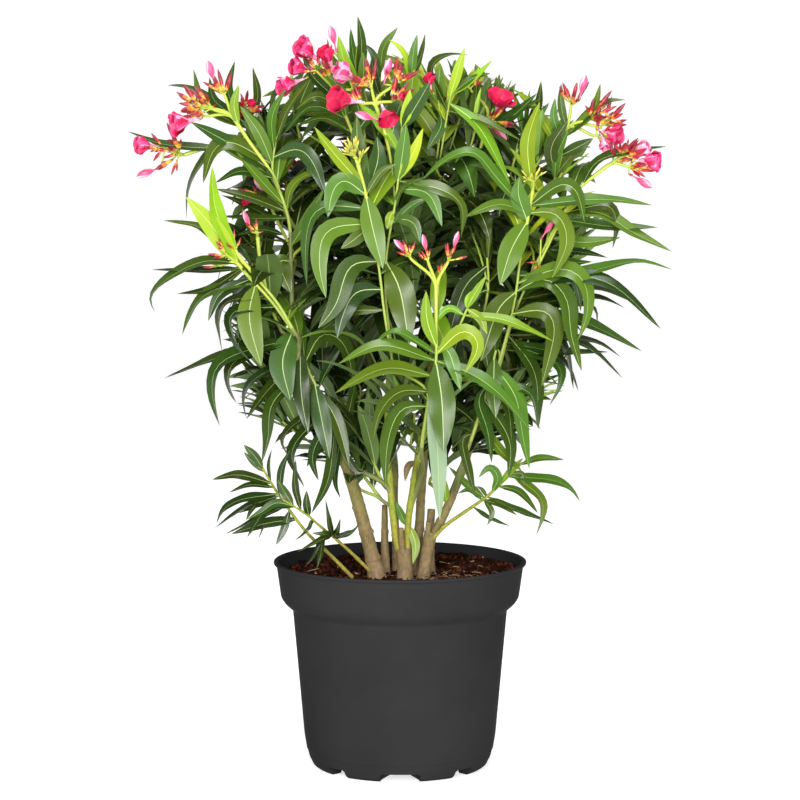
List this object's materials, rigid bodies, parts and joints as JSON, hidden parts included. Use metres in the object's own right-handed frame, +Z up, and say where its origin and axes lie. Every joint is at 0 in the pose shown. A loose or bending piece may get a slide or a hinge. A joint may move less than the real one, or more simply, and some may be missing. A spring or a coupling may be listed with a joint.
{
  "type": "potted oleander",
  "caption": "Flowering oleander shrub with long narrow leaves on several stems, in a round plastic nursery pot with a wide rim band.",
  "frame": {"origin": "middle of the pot's flat underside, on the pot's axis", "axes": "+Z up along the pot's axis to the crown, +X to the plant's right as seen from its front, -Y to its front"},
  "size_m": [0.5925, 0.526, 0.8259],
  "materials": {
    "pot_plastic": "matt black moulded plastic with a soft sheen",
    "potting_soil": "moist red-brown peat and bark compost, crumbly",
    "brown_bark": "smooth tan bark with fine cracks and leaf scars, greener upwards",
    "green_bark": "smooth young green bark with a slight sheen",
    "leaves": "leathery dark green leaves with a pale midrib and a soft gloss",
    "blossom": "silky crimson-pink petals and spindle buds"
  },
  "bodies": {
    "root": {"pot": "pot_plastic", "soil": "potting_soil", "stem_left": "brown_bark", "trunk_centre": "brown_bark", "stem_right": "brown_bark", "stem_back": "brown_bark", "stem_back_left": "brown_bark", "bough_centre_left": "green_bark", "bough_centre_right": "green_bark", "bough_right": "brown_bark", "stub_centre": "brown_bark", "stub_right": "brown_bark", "stub_back_left": "brown_bark", "stub_back_right": "brown_bark", "side_shoot_right": "green_bark", "side_shoot_left_low": "green_bark", "side_shoot_left_high": "green_bark", "flowers_far_left": "blossom", "flowers_far_right": "blossom", "foliage_low_spray_left": "leaves", "foliage_low_spray_near": "leaves", "foliage_low_spray_right": "leaves", "foliage_top_centre": "leaves", "foliage_top_left": "leaves", "foliage_top_right": "leaves", "foliage_top_far_right": "leaves", "foliage_top_front": "leaves", "foliage_top_back": "leaves", "foliage_middle_left": "leaves", "foliage_middle_right": "leaves", "foliage_front_left": "leaves", "foliage_front_right": "leaves", "foliage_back_left": "leaves", "foliage_back_right": "leaves", "foliage_low_left": "leaves", "foliage_low_right": "leaves", "foliage_low_front": "leaves", "foliage_low_centre_left": "leaves", "foliage_low_centre_right": "leaves", "foliage_low_back_left": "leaves", "foliage_low_back_right": "leaves", "foliage_core": "leaves"}
  },
  "joints": []
}
